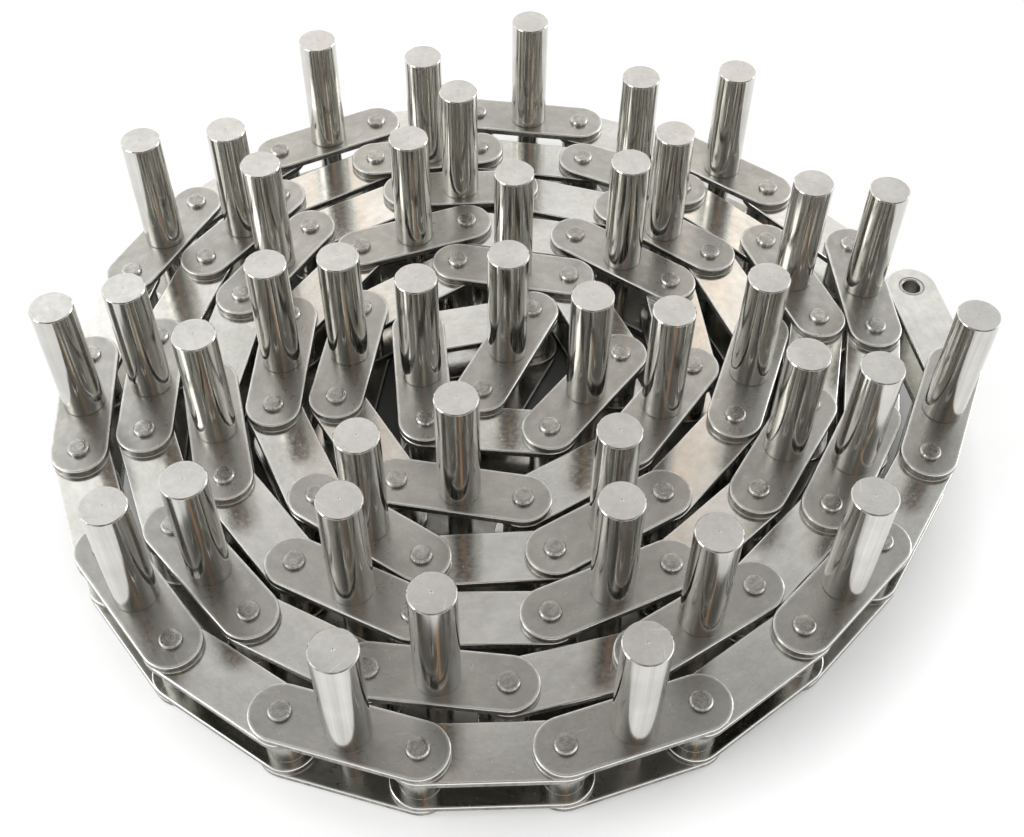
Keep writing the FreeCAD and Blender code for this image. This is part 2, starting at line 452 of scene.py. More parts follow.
class Wiring:
    """Adds nodes to one node tree and joins them, so that a finish reads as a list of steps."""

    # Sockets of a Mix node that belong to colours
    COLOUR_INPUTS = (0, 6, 7)
    COLOUR_OUTPUT = 2

    def __init__(self, tree: Tree) -> None:
        """Starts on an emptied tree."""
        self.tree = tree
        tree.nodes.clear()

    def node(self, kind: str, **settings: object) -> bpy.types.Node:
        """Adds a node.

        Args:
            kind: Type of the node.
            settings: The node's own settings by name.

        Returns:
            The new node.
        """
        made = self.tree.nodes.new(kind)
        for name, value in settings.items():
            setattr(made, name, value)
        return made

    def feed(self, socket: Socket, value: object) -> None:
        """Fills an input.

        Args:
            socket: The input.
            value: An output to link to it, or a plain value to write into it.
        """
        if isinstance(value, Socket):
            self.tree.links.new(value, socket)
        else:
            socket.default_value = value

    def feed_all(self, node: bpy.types.Node, *values: object) -> bpy.types.Node:
        """Fills a node's first inputs in order.

        Args:
            node: The node.
            values: The values of its inputs.

        Returns:
            The same node.
        """
        for socket, value in zip(node.inputs, values):
            self.feed(socket, value)
        return node

    def math(self, operation: str, *values: object) -> Socket:
        """One arithmetic step."""
        return self.feed_all(self.node("ShaderNodeMath", operation=operation), *values).outputs[0]

    def times(self, first: object, *others: object) -> Socket:
        """Multiplies values.

        Args:
            first: The first value.
            others: The values to multiply it by.

        Returns:
            The product.
        """
        for value in others:
            first = self.math("MULTIPLY", first, value)
        return first

    def distance(self, along: Socket, across: Socket) -> Socket:
        """Square root of the sum of two squares."""
        return self.math("SQRT", self.math("ADD", self.times(along, along), self.times(across, across)))

    def vector(self, operation: str, *values: object) -> Socket:
        """One vector step."""
        return self.feed_all(self.node("ShaderNodeVectorMath", operation=operation), *values).outputs[0]

    def scaled(self, colour: Socket, amount: Socket) -> Socket:
        """A colour times a number."""
        return self.vector("SCALE", colour, (0.0, 0.0, 0.0), (0.0, 0.0, 0.0), amount)

    def parts(self, vector: Socket) -> Sequence[Socket]:
        """The X, Y and Z of a vector."""
        return tuple(self.feed_all(self.node("ShaderNodeSeparateXYZ"), vector).outputs)

    def noise(self, where: object, scale: object, detail: float = 2.0, rough: float = 0.5) -> Socket:
        """Makes smooth noise, about 0.5.

        Args:
            where: The place that it depends on.
            scale: How many waves it has in one unit of length.
            detail: How many finer layers it has.
            rough: How strong a layer is against the coarser one before it.

        Returns:
            The noise.
        """
        made = self.node("ShaderNodeTexNoise")
        for name, value in (("Vector", where), ("Scale", scale), ("Detail", detail), ("Roughness", rough)):
            self.feed(made.inputs[name], value)
        return made.outputs["Fac"]

    def spread(
        self, value: object, start: object, end: object, before: float = 0.0, after: float = 1.0,
    ) -> Socket:
        """Maps a range of values evenly to another one, and holds its ends outside it.

        Args:
            value: The value.
            start: Where the range starts.
            end: Where it ends.
            before: The result at its start and below.
            after: The result at its end and above.

        Returns:
            The mapped value.
        """
        made = self.node("ShaderNodeMapRange")
        return self.feed_all(made, value, start, end, before, after).outputs[0]

    def blend(self, share: object, first: object, second: object) -> Socket:
        """Turns one colour into another.

        Args:
            share: 0 for the first colour and 1 for the second.
            first: The first colour.
            second: The second colour.

        Returns:
            The blended colour.
        """
        made = self.node("ShaderNodeMix", data_type="RGBA")
        for number, value in zip(self.COLOUR_INPUTS, (share, first, second)):
            self.feed(made.inputs[number], value)
        return made.outputs[self.COLOUR_OUTPUT]

    def place(self, group: Tree, **values: object) -> Sequence[Socket]:
        """Places a shared group.

        Args:
            group: The group.
            values: Its inputs, named with underscores for spaces.

        Returns:
            The group's outputs.
        """
        made = self.node("ShaderNodeGroup", node_tree=group)
        for name, value in values.items():
            self.feed(made.inputs[name.replace("_", " ")], value)
        return made.outputs


class SharedGroup(Wiring):
    """A shader node group that several materials share, while it is wired."""

    def __init__(self, name: str, numbers: Sequence[str], vectors: Sequence[str] = ("Place",)) -> None:
        """Starts the group with its inputs.

        Args:
            name: Name of the group.
            numbers: Names of its number inputs.
            vectors: Names of its vector inputs.
        """
        super().__init__(bpy.data.node_groups.new(name, "ShaderNodeTree"))
        for kind, labels in (("Vector", vectors), ("Float", numbers)):
            for label in labels:
                self.tree.interface.new_socket(label, in_out="INPUT", socket_type=f"NodeSocket{kind}")
        self.given = self.node("NodeGroupInput").outputs

    def give(self, **results: Socket) -> Tree:
        """Adds the group's outputs.

        Args:
            results: The value of each output by its name.

        Returns:
            The finished group.
        """
        for label in results:
            self.tree.interface.new_socket(label, in_out="OUTPUT", socket_type="NodeSocketFloat")
        taken = self.node("NodeGroupOutput").inputs
        for label, value in results.items():
            self.feed(taken[label], value)
        return self.tree


def make_steel_marks() -> Tree:
    """Marks that all the steel has: slow clouds, fine grain along one way, and small specks and pits.

    The clouds, the mottle and the grain are noises, each finer than the one before. The specks and
    pits are round spots in chosen cells of a cell pattern.

    Returns:
        The group.
    """
    seed_steps = (0.37, 0.53, 0.71)
    mottle_fineness = 5.5
    spot_inside, spot_outside = 0.10, 0.26
    group = SharedGroup(
        "steel_marks",
        ("Seed", "Cloud Scale", "Grain Scale", "Speck Scale", "Speck Share"),
        ("Place", "Stretch"),
    )
    given = group.given
    shift = group.node("ShaderNodeCombineXYZ")
    group.feed_all(shift, *(group.times(given["Seed"], step) for step in seed_steps))
    moved = group.vector("ADD", given["Place"], shift.outputs[0])
    drawn = group.vector("MULTIPLY", moved, given["Stretch"])
    cell = group.node("ShaderNodeTexVoronoi", feature="F1")
    group.feed(cell.inputs["Vector"], moved)
    group.feed(cell.inputs["Scale"], given["Speck Scale"])
    chance = group.feed_all(group.node("ShaderNodeSeparateColor"), cell.outputs["Color"]).outputs
    spot = group.spread(cell.outputs["Distance"], spot_inside, spot_outside, 1.0, 0.0)
    mottle_scale = group.times(given["Cloud Scale"], mottle_fineness)
    return group.give(
        Cloud=group.noise(moved, given["Cloud Scale"], detail=3.0),
        Mottle=group.noise(drawn, mottle_scale, detail=4.0, rough=0.6),
        Grain=group.noise(drawn, given["Grain Scale"], detail=4.0, rough=0.65),
        Speck=group.times(group.math("LESS_THAN", chance[0], given["Speck Share"]), spot),
        Pit=group.times(group.math("LESS_THAN", chance[1], given["Speck Share"]), spot),
    )


def make_scratches() -> Tree:
    """Fine straight scratches, two sets of them, each set along a way of its own on every copy.

    A scratch is where a noise, drawn out along one line, rises over an edge. A greater share lowers
    the edge.

    Returns:
        The group.
    """
    turns_and_stretches = ((17.0, 0.03), (41.0, 0.06))
    depth_stretch = 0.2
    bare_edge, edge_by_share, edge_width = 0.78, 0.3, 0.07
    group = SharedGroup("scratches", ("Seed", "Scale", "Share"))
    given = group.given
    sets = []
    for turn_by_seed, stretch in turns_and_stretches:
        turn = group.node("ShaderNodeVectorRotate", rotation_type="Z_AXIS")
        group.feed(turn.inputs["Vector"], given["Place"])
        group.feed(turn.inputs["Angle"], group.times(given["Seed"], turn_by_seed))
        lines = group.vector("MULTIPLY", turn.outputs[0], (stretch, 1.0, depth_stretch))
        sets.append(group.noise(lines, given["Scale"], detail=3.0, rough=0.6))
    edge = group.math("SUBTRACT", bare_edge, group.times(given["Share"], edge_by_share))
    over = group.math("SUBTRACT", group.math("MAXIMUM", *sets), edge)
    return group.give(Scratch=group.spread(over, 0.0, edge_width))


def make_rim_wear() -> Tree:
    """Bright wear along a plate's rim: one at the outline, and nothing a short way in, with a ragged edge.

    The distance from the outline is the half height less the distance from the spine between the
    two end holes.

    Returns:
        The group.
    """
    worn_share, bare_share = 0.15, 1.1
    group = SharedGroup("rim_wear", ("Half Pitch", "Half Height", "Width", "Ragged"))
    given = group.given
    along, across, _ = group.parts(given["Place"])
    beyond = group.math("SUBTRACT", group.math("ABSOLUTE", along), given["Half Pitch"])
    reach = group.distance(group.math("MAXIMUM", beyond, 0.0), across)
    inset = group.math("SUBTRACT", given["Half Height"], reach)
    ragged = group.times(group.math("SUBTRACT", given["Ragged"], 0.5), given["Width"])
    share = group.math("DIVIDE", group.math("ADD", inset, ragged), given["Width"])
    return group.give(Wear=group.spread(share, worn_share, bare_share, 1.0, 0.0))


def make_seat_shadow_grime_lines() -> Tree:
    """Painted contact shadow, with some grime, where a pin, a bush or a stud meets a plate: one at its edge, and
    nothing a width away.

    The distance from a round piece's edge is the distance from its middle less its radius, either
    way. A stud stands only on the highest plates, so its line is left out below their faces.

    Returns:
        The group.
    """
    group = SharedGroup(
        "seat_shadow_grime_lines", ("Height", "Half Pitch", "End Radius", "Middle Radius", "Middle Height", "Width"),
    )
    given = group.given
    along, across, _ = group.parts(given["Place"])
    lines = []
    for middle, radius in ((given["Half Pitch"], given["End Radius"]), (0.0, given["Middle Radius"])):
        off = group.math("SUBTRACT", group.math("ABSOLUTE", along), middle)
        off_edge = group.math("ABSOLUTE", group.math("SUBTRACT", group.distance(off, across), radius))
        lines.append(group.spread(off_edge, 0.0, given["Width"], 1.0, 0.0))
    on_top = group.math("GREATER_THAN", given["Height"], given["Middle Height"])
    # Strength of the painted contact shadow with grime, at seated pieces' edges
    return group.give(Shade=group.math("MAXIMUM", lines[0], group.times(lines[1], on_top)))


def make_turned_marks() -> Tree:
    """Marks of a lathe on a round end: fine rings about the axis, and how far out from it a point is.

    The rings are a sine of the distance from the axis.

    Returns:
        The group.
    """
    group = SharedGroup("turned_marks", ("Spacing", "Waver"))
    given = group.given
    reach = group.distance(*group.parts(given["Place"])[:2])
    count = group.math("ADD", group.math("DIVIDE", reach, given["Spacing"]), given["Waver"])
    rings = group.math("SINE", group.times(count, math.tau))
    return group.give(Rings=group.spread(rings, -1.0, 1.0), Reach=reach)


class Pattern(Enum):
    """How a finish lies on its piece."""

    PLATE = "along the plate"
    SHEARED = "upright lines of a sheared wall"
    DRAWN = "upright lines of a polished bar"
    TURNED = "rings about the axis"
    PEENED = "hammered"


class Seats(NamedTuple):
    """Radii of the round pieces in a plate's end holes and on its middle, and the latter's height."""

    end_radius: float
    middle_radius: float
    middle_height: float


@dataclass
class Look:
    """A finish while it is wired: a point's place and marks, and the colour, roughness and height so far."""

    wiring: Wiring
    groups: Groups
    place: Socket
    seed: Socket
    marks: Sequence[Socket]
    colour: Socket
    rough: Socket
    height: Socket

    def tint(self, share: Socket, colour: Colour) -> None:
        """Turns the colour into another one by a share."""
        self.colour = self.wiring.blend(share, self.colour, (*colour, 1.0))

    def roughen(self, mark: Socket, amount: float) -> None:
        """Adds a mark to the roughness."""
        self.rough = self.wiring.math("ADD", self.rough, self.wiring.times(mark, amount))

    def lift(self, mark: Socket, amount: float) -> None:
        """Adds a mark to the bump height."""
        self.height = self.wiring.math("ADD", self.height, self.wiring.times(mark, amount))


@dataclass(frozen=True)
class Finish:
    """One steel finish: its colours, its gloss and the marks on it."""

    name: str
    pattern: Pattern
    dark: Colour
    pale: Colour
    rough_low: float
    rough_high: float
    mottle: float = 0.2
    cloud_scale: float = 90.0
    grain_scale: float = 900.0
    grain_height: float = 0.6
    waviness: float = 0.0
    rough_by_mottle: tuple[float, float] = (1.15, 0.85)
    speck_share: float = 0.0
    speck_scale: float = 1500.0
    speck_colour: Colour = (0.82, 0.81, 0.79)
    speck_rough: float = 0.15
    speck_height: float = 0.5
    pit_and_shade_colour: Colour = (0.16, 0.15, 0.14)
    pit_shade: float = 0.6
    scratch_share: float = 0.0
    scratch_scale: float = 1100.0
    scratch_light: float = 0.35
    scratch_rough: float = 0.08
    scratch_depth: float = 0.5
    worn_colour: Colour = (0.82, 0.815, 0.785)
    worn_rough: float = 0.24
    wear_width: float = 0.9 * MM
    # Painted contact shadow with some grime: rings round seated pieces, and a dark band at the foot of a sheared
    # wall
    seat_width: float = 0.3 * MM
    seat_shade: float = 0.75
    foot_shade: Fade = Fade(0.0, 0.6 * MM, 0.7, 0.0)
    ring_spacing: float = 0.32 * MM
    ring_height: float = 0.3
    hammered_height: float = 1.2
    head_wear: Fade = Fade(0.76, 0.92, 0.0, 0.6)
    bump: float = 0.1
    bump_distance: float = 0.2 * MM
    drawn_out: float = 0.0

    def stretch(self) -> tuple[float, float, float]:
        """Says how the grain is drawn out, as the share of its fineness along each of the piece's axes.

        Returns:
            The three shares.
        """
        drawn = {
            Pattern.PLATE: (0.7, 1.0, 1.0),
            Pattern.SHEARED: (1.0, 1.0, 0.12),
            Pattern.DRAWN: (1.0, 1.0, 0.015),
        }
        return drawn.get(self.pattern, (1.0, 1.0, 1.0))

    def material(self, groups: Groups, form: PlateForm, seats: Seats) -> bpy.types.Material:
        """Builds the material.

        Args:
            groups: The shared shader node groups by name.
            form: The plate whose outline the rim wear follows.
            seats: The round pieces that sit on the plate.

        Returns:
            The finished material.
        """
        made = bpy.data.materials.new(self.name)
        made.use_nodes = True
        look = self.bare_steel(Wiring(made.node_tree), groups)
        if self.scratch_share:
            self.scratch(look)
        if self.pattern is Pattern.PLATE:
            self.wear_rim(look, form)
            self.shade_seats(look, form, seats)
        if self.pattern is Pattern.SHEARED:
            # Painted shadow, with some grime, darkening the lowest part of a sheared wall where the plates meet
            foot = look.wiring.parts(look.place)[2]
            look.tint(look.wiring.spread(foot, *self.foot_shade), self.pit_and_shade_colour)
        if self.pattern in (Pattern.TURNED, Pattern.PEENED):
            self.turn(look, seats)
        if self.speck_share:
            look.tint(look.marks["Speck"], self.speck_colour)
            look.tint(look.wiring.times(look.marks["Pit"], self.pit_shade), self.pit_and_shade_colour)
            look.roughen(look.marks["Speck"], self.speck_rough)
            look.lift(look.marks["Speck"], self.speck_height)
            look.lift(look.marks["Pit"], -self.speck_height)
        self.connect(look)
        return made

    def bare_steel(self, wiring: Wiring, groups: Groups) -> Look:
        """Starts the finish with clean steel.

        The clouds mix the dark and the pale colour, and the mottle and the grain shade it.

        Args:
            wiring: The material's wiring.
            groups: The shared shader node groups by name.

        Returns:
            The look so far.
        """
        mottle_gain, grain_loss, grain_gain = 0.5, 0.6, 0.3
        place = wiring.node("ShaderNodeAttribute", attribute_name="own_place").outputs["Vector"]
        seed = wiring.node("ShaderNodeAttribute", attribute_name="own_seed").outputs["Fac"]
        marks = wiring.place(
            groups["steel_marks"], Place=place, Seed=seed, Stretch=self.stretch(),
            Cloud_Scale=self.cloud_scale, Grain_Scale=self.grain_scale,
            Speck_Scale=self.speck_scale, Speck_Share=self.speck_share,
        )
        tone = wiring.spread(marks["Cloud"], *NOISE_RANGE)
        darkest, palest = 1.0 - self.mottle, 1.0 + mottle_gain * self.mottle
        dullest, brightest = 1.0 - grain_loss * self.mottle, 1.0 + grain_gain * self.mottle
        shade = wiring.times(
            wiring.spread(marks["Mottle"], *NOISE_RANGE, darkest, palest),
            wiring.spread(marks["Grain"], *NOISE_RANGE, dullest, brightest),
        )
        rough = wiring.times(
            wiring.spread(marks["Grain"], *NOISE_RANGE, self.rough_low, self.rough_high),
            wiring.spread(marks["Mottle"], *NOISE_RANGE, *self.rough_by_mottle),
        )
        colour = wiring.scaled(wiring.blend(tone, (*self.dark, 1.0), (*self.pale, 1.0)), shade)
        height = wiring.times(marks["Grain"], self.grain_height)
        look = Look(wiring, groups, place, seed, marks, colour, rough, height)
        if self.waviness:
            look.lift(marks["Cloud"], self.waviness)
        return look

    def scratch(self, look: Look) -> None:
        """Scratches the steel.

        Args:
            look: The look so far.
        """
        scratch = look.wiring.place(
            look.groups["scratches"], Place=look.place, Seed=look.seed,
            Scale=self.scratch_scale, Share=self.scratch_share,
        )["Scratch"]
        look.tint(look.wiring.times(scratch, self.scratch_light), self.speck_colour)
        look.roughen(scratch, self.scratch_rough)
        look.lift(scratch, -self.scratch_depth)

    def wear_rim(self, look: Look, form: PlateForm) -> None:
        """Wears a plate's rim bright.

        Args:
            look: The look so far.
            form: The plate.
        """
        wear = look.wiring.place(
            look.groups["rim_wear"], Place=look.place, Half_Pitch=form.half_pitch,
            Half_Height=form.half_height, Width=self.wear_width, Ragged=look.marks["Grain"],
        )["Wear"]
        look.tint(wear, self.worn_colour)
        look.roughen(wear, self.worn_rough - self.rough_low)

    def shade_seats(self, look: Look, form: PlateForm, seats: Seats) -> None:
        """Paints the dark lines round the pieces that sit on a plate: painted contact shadow, with some grime.

        Args:
            look: The look so far.
            form: The plate.
            seats: The round pieces.
        """
        wiring = look.wiring
        seat = wiring.place(
            look.groups["seat_shadow_grime_lines"], Place=look.place,
            Height=wiring.parts(wiring.node("ShaderNodeTexCoord").outputs["Object"])[2],
            Half_Pitch=form.half_pitch, End_Radius=seats.end_radius, Middle_Radius=seats.middle_radius,
            Middle_Height=seats.middle_height, Width=self.seat_width,
        )["Shade"]
        # Painted contact shadow with some grime: the plate darkened round each seated piece
        look.tint(wiring.times(seat, self.seat_shade), self.pit_and_shade_colour)

    def turn(self, look: Look, seats: Seats) -> None:
        """Adds the rings of a turned end, or those of a hammered head, with its bumps and bright edge.

        Args:
            look: The look so far.
            seats: The round pieces, of which the one at a plate's end has the head.
        """
        rings = look.wiring.place(
            look.groups["turned_marks"], Place=look.place, Spacing=self.ring_spacing,
            Waver=look.marks["Cloud"],
        )
        look.lift(rings["Rings"], self.ring_height)
        if self.pattern is Pattern.PEENED:
            look.lift(look.marks["Mottle"], self.hammered_height)
            reach = look.wiring.math("DIVIDE", rings["Reach"], seats.end_radius)
            look.tint(look.wiring.spread(reach, *self.head_wear), self.worn_colour)

    def connect(self, look: Look) -> None:
        """Joins the look to the steel's shader.

        Args:
            look: The finished look.
        """
        wiring = look.wiring
        steel = wiring.node("ShaderNodeBsdfPrincipled")
        bump = wiring.node("ShaderNodeBump")
        for socket, value in (
            (steel.inputs["Metallic"], 1.0),
            (steel.inputs["Base Color"], look.colour),
            (steel.inputs["Roughness"], wiring.spread(look.rough, 0.0, 1.0)),
            (bump.inputs["Strength"], self.bump),
            (bump.inputs["Distance"], self.bump_distance),
            (bump.inputs["Height"], look.height),
            (steel.inputs["Normal"], bump.outputs["Normal"]),
            (wiring.node("ShaderNodeOutputMaterial").inputs["Surface"], steel.outputs["BSDF"]),
        ):
            wiring.feed(socket, value)
        if self.drawn_out:
            upright = wiring.feed_all(wiring.node("ShaderNodeCombineXYZ"), 0.0, 0.0, 1.0)
            wiring.feed(steel.inputs["Anisotropic"], self.drawn_out)
            wiring.feed(steel.inputs["Tangent"], upright.outputs[0])


OUTER_FACE = Finish(
    "satin_outer_plate", Pattern.PLATE, (0.39, 0.386, 0.357), (0.485, 0.48, 0.446), 0.27, 0.36,
    speck_share=0.015, scratch_share=0.25, mottle=0.10, bump=0.06, worn_rough=0.28,
    cloud_scale=60.0, waviness=3.0,
)
INNER_FACE = Finish(
    "polished_inner_plate", Pattern.PLATE, (0.60, 0.594, 0.552), (0.71, 0.703, 0.657), 0.11, 0.19,
    speck_share=0.04, scratch_share=0.3, mottle=0.09, bump=0.04, worn_rough=0.2,
    cloud_scale=60.0, waviness=6.0,
)
SHEARED_WALL = Finish(
    "sheared_plate_edge", Pattern.SHEARED, (0.27, 0.266, 0.243), (0.46, 0.454, 0.42), 0.36, 0.56,
    speck_share=0.45, mottle=0.4, bump=0.65,
)
STUD_SIDE = Finish(
    "polished_stud_side", Pattern.DRAWN, (0.60, 0.588, 0.545), (0.70, 0.692, 0.655), 0.08, 0.14,
    mottle=0.16, bump=0.02, drawn_out=0.85, grain_scale=1800.0,
)
STUD_END = Finish(
    "sanded_stud_end", Pattern.TURNED, (0.57, 0.565, 0.54), (0.67, 0.665, 0.638), 0.30, 0.40,
    speck_share=0.05, scratch_share=0.5, mottle=0.08, bump=0.13, pit_and_shade_colour=(0.40, 0.395, 0.38),
)
PIN_HEAD = Finish(
    "peened_pin_head", Pattern.PEENED, (0.36, 0.355, 0.328), (0.49, 0.484, 0.452), 0.20, 0.32,
    speck_share=0.03, scratch_share=0.4, mottle=0.28, bump=0.22, ring_spacing=0.7 * MM, ring_height=0.2,
)
ROLLER = Finish(
    "roller_steel_surface", Pattern.DRAWN, (0.45, 0.444, 0.41), (0.55, 0.544, 0.51), 0.22, 0.34,
    mottle=0.12, bump=0.1,
)
BUSH = Finish(
    "bush_steel_surface", Pattern.TURNED, (0.55, 0.544, 0.50), (0.64, 0.634, 0.59), 0.24, 0.36,
    mottle=0.12, bump=0.12,
)


class Kind(Enum):
    """Kinds of piece by the record's material slot, with the finishes that each wears."""

    OUTER_PLATE = ("outer_plate_steel", (OUTER_FACE, SHEARED_WALL))
    INNER_PLATE = ("inner_plate_steel", (INNER_FACE, SHEARED_WALL))
    PIN = ("pin_steel", (PIN_HEAD,))
    STUD = ("polished_stud", (STUD_SIDE, STUD_END))
    BUSH = ("bush_steel", (BUSH,))
    ROLLER = ("roller_steel", (ROLLER,))

    @property
    def slot(self) -> str:
        """The record's material slot."""
        return self.value[0]

    @property
    def finishes(self) -> tuple[Finish, ...]:
        """The finishes, by the number that a face has."""
        return self.value[1]


@dataclass
class Chain:
    """The chain's pieces, made again in their places as finished surfaces."""

    rim: float = 0.45 * MM
    rivet_spread: float = 0.2 * MM
    rivet_edge: float = 0.42 * MM
    head_dome: float = 0.06 * MM
    head_round: float = 0.08 * MM
    flat_share: float = 0.6
    dome_middle: float = 0.2
    dome_fillet: float = 0.3
    shank_radius: float = 3.97 * MM
    shank_head_round: float = 0.1 * MM
    stud_top_edge: float = 0.3 * MM
    stud_top_band: float = 1.35
    stud_edge_round: float = 0.12 * MM
    stud_foot_edge: float = 0.25 * MM
    stud_foot_round: float = 0.2 * MM
    centre_radius: float = 0.4 * MM
    centre_depth: float = 0.12 * MM
    centre_round: float = 0.05 * MM
    bush_wall: float = 1.17 * MM
    bush_lead_in: float = 0.35 * MM
    bush_edge: float = 0.25 * MM
    roller_gap: float = 0.05 * MM
    roller_edge: float = 0.4 * MM
    stud_segments: int = 48
    round_segments: int = 32
    large_fillet_rows: int = 3

    def __post_init__(self) -> None:
        """Reads the nodes of each kind and the solids in each of them."""
        self.kinds: dict[str, Kind] = {}
        slots = {kind.slot: kind for kind in Kind}
        for part in frame["record"]["subparts"]:
            self.kinds[part["node"]] = slots[part["material_slot"]]
        self.solids = {node: solids_of(node) for node in self.kinds}
        pivots = {joint["name"]: Vector(joint["pos_m"]) for joint in frame["joints"]}
        step = pivots["link_01_pivot"] - pivots["link_02_pivot"]
        self.pitch = step.xy.length

    def nodes(self, kind: Kind, word: str = "") -> list[str]:
        """Names of this kind's nodes that hold a word."""
        return [node for node, found in self.kinds.items() if found is kind and word in node]

    def level(self, kind: Kind, word: str = "") -> Level:
        """Finds how low and how high a kind's pieces reach.

        Args:
            kind: The kind of piece.
            word: A word that the names of the nodes hold.

        Returns:
            The lowest and the highest height.
        """
        found = [self.solids[node] for node in self.nodes(kind, word)]
        lowest = min(solids.low[:, 2].min() for solids in found)
        highest = max(solids.high[:, 2].max() for solids in found)
        return Level(lowest, highest)

    def radius(self, kind: Kind) -> float:
        """Outer radius of this kind's round pieces, from the first one's box."""
        return float(self.solids[self.nodes(kind)[0]].width[0].mean() / 2)

    def half_height(self) -> float:
        """Works out half the plates' height from the box of one of them.

        A plate with half pitch h and half height r, at any turn, has a box whose half sizes less r
        are the sides of a right triangle with hypotenuse h.

        Returns:
            The half height.
        """
        width = self.solids[self.nodes(Kind.OUTER_PLATE)[0]].width[0]
        return float((width.sum() - math.sqrt(2 * self.pitch**2 - (width[0] - width[1]) ** 2)) / 4)

    def plate(self, kind: Kind) -> PlateForm:
        """Gives the form of the outer plates, with pins and a stud in their holes, or of the inner ones.

        Args:
            kind: Outer or inner plate.

        Returns:
            The plate's form.
        """
        level = self.level(kind, "upper")
        outer = kind is Kind.OUTER_PLATE
        return PlateForm(
            half_pitch=self.pitch / 2,
            half_height=self.half_height(),
            thickness=level.high - level.low,
            rim=self.rim,
            end_hole=self.radius(Kind.PIN) - self.rivet_spread if outer else self.radius(Kind.BUSH),
            middle_hole=self.shank_radius if outer else 0.0,
        )

    def pin(self) -> Surface:
        """Makes a pin with both ends spread and peened over the outer plates, its heads a little domed.

        It is an outline turned about its axis, and one end's outline is the other's upside down.

        Returns:
            The pin's surface.
        """
        rim = self.radius(Kind.PIN)
        shank = rim - self.rivet_spread
        ends = []
        for end, plate, inward in zip(self.level(Kind.PIN), self.level(Kind.OUTER_PLATE), (1, -1)):
            dome = inward * self.head_dome
            ends.append([
                Corner(0, end),
                Corner(self.flat_share * rim, end + self.dome_middle * dome, self.dome_fillet * rim),
                Corner(rim - self.rivet_edge, end + dome, self.head_round),
                Corner(rim, end + dome + inward * self.rivet_edge, self.head_round),
                Corner(rim, plate),
                Corner(shank, plate),
            ])
        return turned(ends[0] + ends[1][::-1], False, self.round_segments)

    def stud(self) -> Surface:
        """Makes a polished stud: a thick post on a shank that is riveted under the lower plate.

        It is an outline turned about its axis, with a small mark in the middle of its top.

        Returns:
            The stud's surface.
        """
        radius = self.radius(Kind.STUD)
        low, high = self.level(Kind.STUD)
        plates = self.level(Kind.OUTER_PLATE)
        rim = self.shank_radius + self.rivet_spread
        top, foot, sunk = self.stud_top_edge, self.stud_foot_edge, high - self.centre_depth
        return turned([
            Corner(0, low, finish=1),
            Corner(rim - self.rivet_edge, low, self.shank_head_round, 1),
            Corner(rim, low + self.rivet_edge, self.shank_head_round, 1),
            Corner(rim, plates.low),
            Corner(self.shank_radius, plates.low),
            Corner(self.shank_radius, plates.high),
            Corner(radius - foot, plates.high),
            Corner(radius, plates.high + foot, self.stud_foot_round),
            Corner(radius, high - top, self.stud_edge_round),
            Corner(radius - top, high, self.stud_edge_round),
            Corner(radius - self.stud_top_band * top, high, finish=1),
            Corner(self.centre_radius, high, self.centre_round, 1),
            Corner(self.flat_share * self.centre_radius, sunk, finish=1),
            Corner(0, sunk, finish=1),
        ], False, self.stud_segments, self.large_fillet_rows)

    def bush(self) -> Surface:
        """Makes a bush: a tube with bevelled ends outside and inside its bore.

        It is a ring's section turned about its axis, and one end is the other upside down.

        Returns:
            The bush's surface.
        """
        outer = self.radius(Kind.BUSH)
        bore = outer - self.bush_wall
        ends = []
        for end, inward in zip(self.level(Kind.BUSH), (1, -1)):
            ends.append([
                Corner(bore, end + inward * self.bush_lead_in),
                Corner(bore + self.bush_lead_in, end),
                Corner(outer - self.bush_edge, end),
                Corner(outer, end + inward * self.bush_edge),
            ])
        return turned(ends[0] + ends[1][::-1], True, self.round_segments)

    def roller(self) -> Surface:
        """Makes a roller: a thick ring with rounded edges, as a section turned about its axis.

        Returns:
            The roller's surface.
        """
        outer = self.radius(Kind.ROLLER)
        bore = self.radius(Kind.BUSH) + self.roller_gap
        low, high = self.level(Kind.ROLLER)
        return turned([
            Corner(bore, low),
            Corner(outer, low, self.roller_edge),
            Corner(outer, high, self.roller_edge),
            Corner(bore, high),
        ], True, self.round_segments, self.large_fillet_rows)

    def placements(self, node: str) -> np.ndarray:
        """Finds where a node's solids are.

        A plate's turn comes from its box: its half sizes less the half height are the cosine and
        the sine of the turn, times half the pitch. Which way it leans gives the sign.

        Args:
            node: Name of the node.

        Returns:
            Middle, height and turn of each solid, one row each.
        """
        solids = self.solids[node]
        turn = height = np.zeros(len(solids.low))
        if self.kinds[node] in (Kind.OUTER_PLATE, Kind.INNER_PLATE):
            reach = np.maximum(solids.width / 2 - self.half_height(), 0.0)
            turn = np.arctan2(reach[:, 1], reach[:, 0]) * solids.slope
            height = solids.low[:, 2]
        return np.column_stack([solids.middle, height, turn])

    def dress(self, groups: Groups, form: PlateForm) -> dict[Kind, list[bpy.types.Material]]:
        """Makes each finish once.

        Args:
            groups: The shared shader node groups by name.
            form: The outer plate, whose outline the inner one shares.

        Returns:
            The materials of each kind, by the number that a face has.
        """
        stud_foot = self.radius(Kind.STUD) - self.stud_foot_edge
        top_face = self.level(Kind.OUTER_PLATE).high
        seats = Seats(self.radius(Kind.PIN), stud_foot, top_face - self.stud_edge_round)
        bush_seats = Seats(self.radius(Kind.BUSH), stud_foot, top_face)
        made: dict[str, bpy.types.Material] = {}
        for kind in Kind:
            for finish in kind.finishes:
                if finish.name not in made:
                    held = bush_seats if kind is Kind.INNER_PLATE else seats
                    made[finish.name] = finish.material(groups, form, held)
        return {kind: [made[finish.name] for finish in kind.finishes] for kind in Kind}

